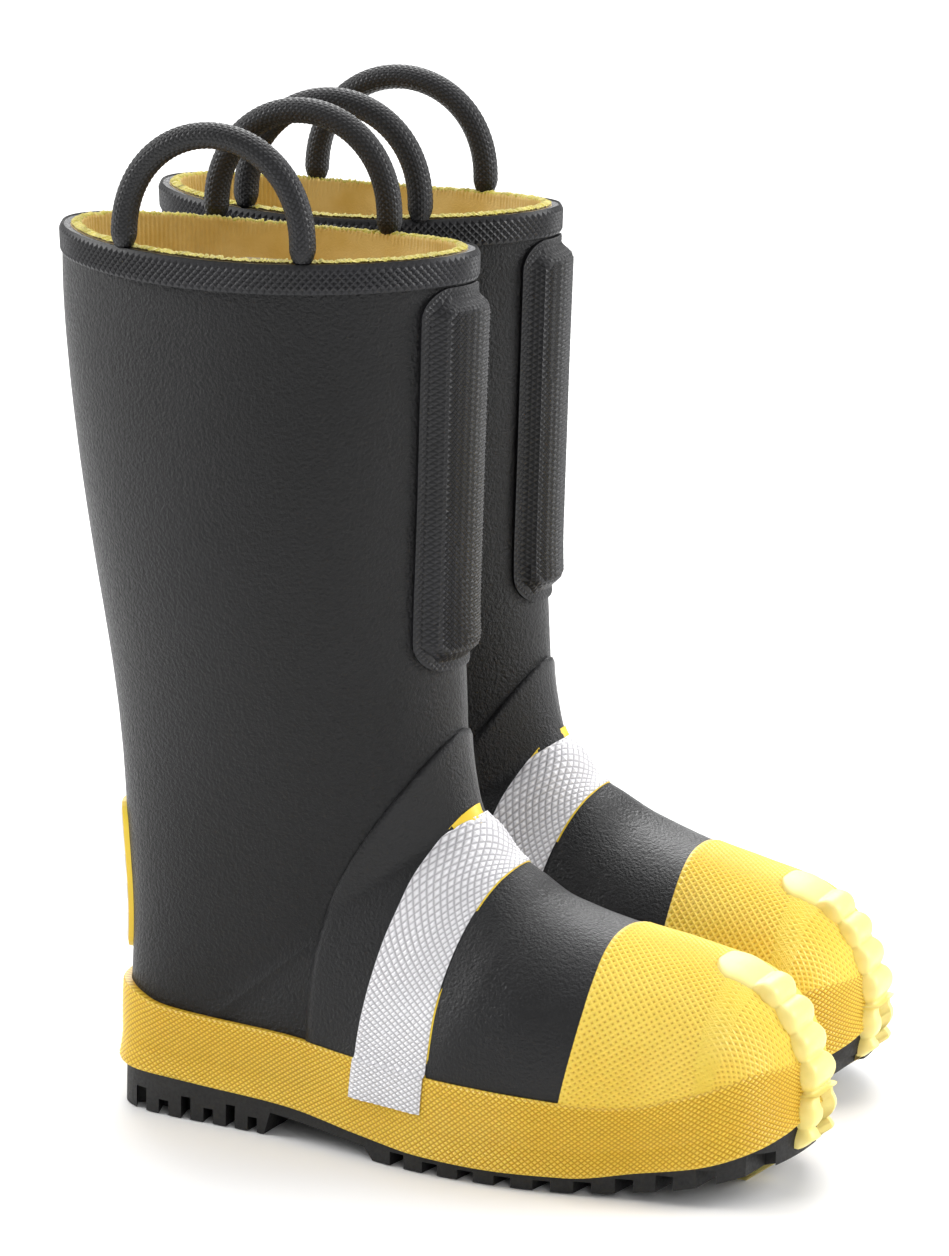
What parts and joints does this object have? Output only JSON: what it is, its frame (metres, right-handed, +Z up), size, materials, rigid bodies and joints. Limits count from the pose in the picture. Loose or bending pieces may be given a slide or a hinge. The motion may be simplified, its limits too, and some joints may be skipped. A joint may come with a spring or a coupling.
{
  "type": "fire boots",
  "caption": "Pair of pull-on rubber fire boots with tall shafts, pull loops, shin guards, knurled toe caps, reflective strips and lugged soles.",
  "frame": {"origin": "middle of the pair's bounding box, on the floor under the soles", "axes": "+Z up from the floor, toes point to -Y, the right boot stands at -X and the left boot at +X"},
  "size_m": [0.2584, 0.381, 0.4388],
  "materials": {
    "black_outsole": "matte",
    "black_rubber": "satin",
    "yellow_rubber": "satin",
    "pale_yellow_rubber": "satin",
    "yellow_felt": "knitted",
    "reflective": "retroreflective knurled film",
    "steel": "plain",
    "foam": "closed-cell foam",
    "foam_fabric": "fabric over foam",
    "board": "fibre board",
    "label": "printed cloth"
  },
  "bodies": {
    "left_boot": {"left_outsole": "black_outsole", "left_rubber_shell": "black_rubber", "left_lining": "yellow_felt", "left_rim_binding": "black_rubber", "left_loop_tab_outer": "black_rubber", "left_loop_tab_inner": "black_rubber", "left_shin_guard_cover": "black_rubber", "left_shin_guard_pad": "foam", "left_vamp_overlay": "black_rubber", "left_reflective_strip": "reflective", "left_strip_backing": "yellow_rubber", "left_toe_cap_cover": "yellow_rubber", "left_toe_bumper": "pale_yellow_rubber", "left_foxing": "yellow_rubber", "left_steel_toe_cap": "steel", "left_toe_cap_gasket": "black_rubber", "left_steel_midsole": "steel", "left_shank": "steel", "left_insole_board": "board", "left_footbed": "foam_fabric", "left_cushion": "foam", "left_heel_counter": "board", "left_back_stay": "black_rubber", "left_heel_patch": "reflective", "left_heel_patch_backing": "yellow_rubber", "left_heel_patch_disc": "yellow_rubber", "left_inner_label": "label"},
    "right_boot": {"right_outsole": "black_outsole", "right_rubber_shell": "black_rubber", "right_lining": "yellow_felt", "right_rim_binding": "black_rubber", "right_loop_tab_outer": "black_rubber", "right_loop_tab_inner": "black_rubber", "right_shin_guard_cover": "black_rubber", "right_shin_guard_pad": "foam", "right_vamp_overlay": "black_rubber", "right_reflective_strip": "reflective", "right_strip_backing": "yellow_rubber", "right_toe_cap_cover": "yellow_rubber", "right_toe_bumper": "pale_yellow_rubber", "right_foxing": "yellow_rubber", "right_steel_toe_cap": "steel", "right_toe_cap_gasket": "black_rubber", "right_steel_midsole": "steel", "right_shank": "steel", "right_insole_board": "board", "right_footbed": "foam_fabric", "right_cushion": "foam", "right_heel_counter": "board", "right_back_stay": "black_rubber", "right_heel_patch": "reflective", "right_heel_patch_backing": "yellow_rubber", "right_heel_patch_disc": "yellow_rubber", "right_inner_label": "label"},
    "right_loop_outer": {"right_pull_loop_outer": "black_rubber"},
    "right_loop_inner": {"right_pull_loop_inner": "black_rubber"},
    "left_loop_outer": {"left_pull_loop_outer": "black_rubber"},
    "left_loop_inner": {"left_pull_loop_inner": "black_rubber"}
  },
  "joints": [
    {"name": "right_boot_lift", "type": "slide", "parent": "left_boot", "child": "right_boot", "axis": [0, 0, 1], "range_m": [0, 0.46]},
    {"name": "right_loop_outer_hinge", "type": "hinge", "parent": "right_boot", "child": "right_loop_outer", "pos_m": [-0.11576, 0.07606, 0.38689], "axis": [0.0218, 0.9998, 0], "range_deg": [-35, 35], "stiffness_Nm_per_rad": 1.5},
    {"name": "right_loop_inner_hinge", "type": "hinge", "parent": "right_boot", "child": "right_loop_inner", "pos_m": [-0.02004, 0.08047, 0.38689], "axis": [0.0218, 0.9998, 0], "range_deg": [-35, 6], "stiffness_Nm_per_rad": 1.5},
    {"name": "left_loop_outer_hinge", "type": "hinge", "parent": "left_boot", "child": "left_loop_outer", "pos_m": [0.11578, 0.09566, 0.38689], "axis": [-0.0218, 0.9998, 0], "range_deg": [-35, 35], "stiffness_Nm_per_rad": 1.5},
    {"name": "left_loop_inner_hinge", "type": "hinge", "parent": "left_boot", "child": "left_loop_inner", "pos_m": [0.02039, 0.08507, 0.38689], "axis": [-0.0218, 0.9998, 0], "range_deg": [-6, 35], "stiffness_Nm_per_rad": 1.5}
  ]
}
